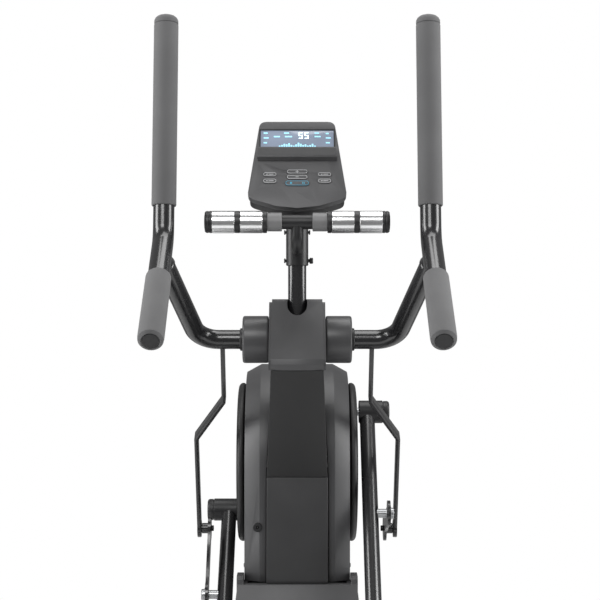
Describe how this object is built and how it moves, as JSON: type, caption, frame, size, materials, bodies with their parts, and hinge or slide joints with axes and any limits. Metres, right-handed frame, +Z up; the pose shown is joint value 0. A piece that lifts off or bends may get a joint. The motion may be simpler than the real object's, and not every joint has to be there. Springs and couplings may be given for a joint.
{
  "type": "elliptical trainer",
  "caption": "Front-drive elliptical trainer with swinging foam-grip handles, striding pedals on inclined rails, covered crank tower, pulse bar and console.",
  "frame": {"origin": "centre of the floor footprint, on the floor", "axes": "+Z up, +Y from the user towards the front of the machine, +X to the right of a user facing the console"},
  "size_m": [0.552, 1.18, 1.6584],
  "materials": {
    "foam": "closed-cell foam",
    "bright_steel": "bright satin",
    "rubber": "matte",
    "grey_plastic": "satin moulded",
    "black_plastic": "satin moulded",
    "display_window": "clear gloss over a pale panel",
    "black_paint": "gloss powder coat"
  },
  "bodies": {
    "machine": {"base_beam": "black_paint", "rear_stabilizer": "black_paint", "front_stabilizer": "black_paint", "rear_end_cap_left": "rubber", "front_end_cap_left": "rubber", "rear_end_cap_right": "rubber", "front_end_cap_right": "rubber", "left_rail": "bright_steel", "right_rail": "bright_steel", "tower_frame": "black_paint", "left_shroud": "grey_plastic", "right_shroud": "grey_plastic", "power_inlet": "black_plastic", "neck_cover": "grey_plastic", "rear_panel": "black_plastic", "lower_rear_panel": "black_plastic", "base_cover": "grey_plastic", "lower_mast": "black_paint", "upper_mast": "black_plastic", "handle_axle": "bright_steel", "drive_belt": "rubber", "pulse_bar": "black_plastic", "pulse_grip_left": "bright_steel", "pulse_grip_right": "bright_steel", "console_front": "grey_plastic", "console_rear_shell": "black_plastic", "display": "display_window"},
    "crank": {"crank_axle": "bright_steel", "left_crank_disc": "black_plastic", "right_crank_disc": "black_plastic", "drive_pulley": "black_plastic"},
    "flywheel": {"flywheel": "bright_steel"},
    "left_carriage": {"left_roller_axle": "bright_steel"},
    "left_leg": {"left_leg": "black_paint", "left_pedal": "rubber"},
    "left_roller": {"left_roller": "rubber"},
    "left_handle": {"left_handle": "black_paint", "left_upper_grip": "foam", "left_lower_grip": "foam", "left_hub_cover": "grey_plastic"},
    "left_link": {"left_link": "black_paint"},
    "transport_wheel_left": {"transport_wheel_left": "rubber"},
    "right_carriage": {"right_roller_axle": "bright_steel"},
    "right_leg": {"right_leg": "black_paint", "right_pedal": "rubber"},
    "right_roller": {"right_roller": "rubber"},
    "right_handle": {"right_handle": "black_paint", "right_upper_grip": "foam", "right_lower_grip": "foam", "right_hub_cover": "grey_plastic"},
    "right_link": {"right_link": "black_paint"},
    "transport_wheel_right": {"transport_wheel_right": "rubber"},
    "upper_left_button": {"upper_left_button": "rubber"},
    "lower_left_button": {"lower_left_button": "rubber"},
    "upper_right_button": {"upper_right_button": "rubber"},
    "lower_right_button": {"lower_right_button": "rubber"},
    "plus_button": {"plus_button": "rubber"},
    "minus_button": {"minus_button": "rubber"},
    "start_button": {"start_button": "rubber"}
  },
  "joints": [
    {"name": "crank_spin", "type": "hinge", "parent": "machine", "child": "crank", "pos_m": [0, 0.28, 0.761], "axis": [1, 0, 0], "continuous": true},
    {"name": "flywheel_spin", "type": "hinge", "parent": "machine", "child": "flywheel", "pos_m": [0, 0.36, 0.33], "axis": [1, 0, 0], "continuous": true},
    {"name": "right_stride", "type": "slide", "parent": "machine", "child": "right_carriage", "axis": [0, 0.8192, 0.5736], "range_m": [-0.12, 0.06]},
    {"name": "right_leg_swing", "type": "hinge", "parent": "right_carriage", "child": "right_leg", "pos_m": [0, -0.31018, 0.18098], "axis": [1, 0, 0], "range_deg": [-0.2, 0.3]},
    {"name": "right_handle_swing", "type": "hinge", "parent": "machine", "child": "right_handle", "pos_m": [0, 0.03, 1.03], "axis": [1, 0, 0], "range_deg": [-13.5, 6.8]},
    {"name": "right_link_swing", "type": "hinge", "parent": "right_handle", "child": "right_link", "pos_m": [0, 0.227, 0.6255], "axis": [1, 0, 0], "range_deg": [-11.4, 22.6]},
    {"name": "right_roller_spin", "type": "hinge", "parent": "right_carriage", "child": "right_roller", "pos_m": [0, -0.31018, 0.18098], "axis": [1, 0, 0], "continuous": true},
    {"name": "transport_wheel_right_spin", "type": "hinge", "parent": "machine", "child": "transport_wheel_right", "pos_m": [0, 0.562, 0.03], "axis": [1, 0, 0], "continuous": true},
    {"name": "left_stride", "type": "slide", "parent": "machine", "child": "left_carriage", "axis": [0, 0.8192, 0.5736], "range_m": [-0.06, 0.12]},
    {"name": "left_leg_swing", "type": "hinge", "parent": "left_carriage", "child": "left_leg", "pos_m": [0, -0.38383, 0.12942], "axis": [1, 0, 0], "range_deg": [-0.5, 0.9]},
    {"name": "left_handle_swing", "type": "hinge", "parent": "machine", "child": "left_handle", "pos_m": [0, 0.03, 1.03], "axis": [1, 0, 0], "range_deg": [-8, 15.9]},
    {"name": "left_link_swing", "type": "hinge", "parent": "left_handle", "child": "left_link", "pos_m": [0, 0.227, 0.6255], "axis": [1, 0, 0], "range_deg": [-22.4, 11.3]},
    {"name": "left_roller_spin", "type": "hinge", "parent": "left_carriage", "child": "left_roller", "pos_m": [0, -0.38383, 0.12942], "axis": [1, 0, 0], "continuous": true},
    {"name": "transport_wheel_left_spin", "type": "hinge", "parent": "machine", "child": "transport_wheel_left", "pos_m": [0, 0.562, 0.03], "axis": [1, 0, 0], "continuous": true},
    {"name": "upper_left_press", "type": "slide", "parent": "machine", "child": "upper_left_button", "axis": [0, 0.9063, -0.4226], "range_m": [0, 0.001], "stiffness_N_per_m": 600},
    {"name": "lower_left_press", "type": "slide", "parent": "machine", "child": "lower_left_button", "axis": [0, 0.9063, -0.4226], "range_m": [0, 0.001], "stiffness_N_per_m": 600},
    {"name": "upper_right_press", "type": "slide", "parent": "machine", "child": "upper_right_button", "axis": [0, 0.9063, -0.4226], "range_m": [0, 0.001], "stiffness_N_per_m": 600},
    {"name": "lower_right_press", "type": "slide", "parent": "machine", "child": "lower_right_button", "axis": [0, 0.9063, -0.4226], "range_m": [0, 0.001], "stiffness_N_per_m": 600},
    {"name": "plus_press", "type": "slide", "parent": "machine", "child": "plus_button", "axis": [0, 0.9063, -0.4226], "range_m": [0, 0.001], "stiffness_N_per_m": 600},
    {"name": "minus_press", "type": "slide", "parent": "machine", "child": "minus_button", "axis": [0, 0.9063, -0.4226], "range_m": [0, 0.001], "stiffness_N_per_m": 600},
    {"name": "start_press", "type": "slide", "parent": "machine", "child": "start_button", "axis": [0, 0.9063, -0.4226], "range_m": [0, 0.001], "stiffness_N_per_m": 600}
  ],
  "couplings": [
    {"joint": "flywheel_spin", "follows": "crank_spin", "ratio": 4.7549},
    {"joint": "right_leg_swing", "follows": "right_stride", "rad_per_m": -0.01553},
    {"joint": "right_handle_swing", "follows": "right_stride", "rad_per_m": 1.9373},
    {"joint": "right_link_swing", "follows": "right_stride", "rad_per_m": -3.258},
    {"joint": "right_roller_spin", "follows": "right_stride", "rad_per_m": -31.546},
    {"joint": "left_stride", "follows": "right_stride", "ratio": -1},
    {"joint": "left_leg_swing", "follows": "right_stride", "rad_per_m": -0.11554},
    {"joint": "left_handle_swing", "follows": "right_stride", "rad_per_m": -2.292},
    {"joint": "left_link_swing", "follows": "right_stride", "rad_per_m": 3.2358},
    {"joint": "left_roller_spin", "follows": "right_stride", "rad_per_m": 31.546}
  ]
}
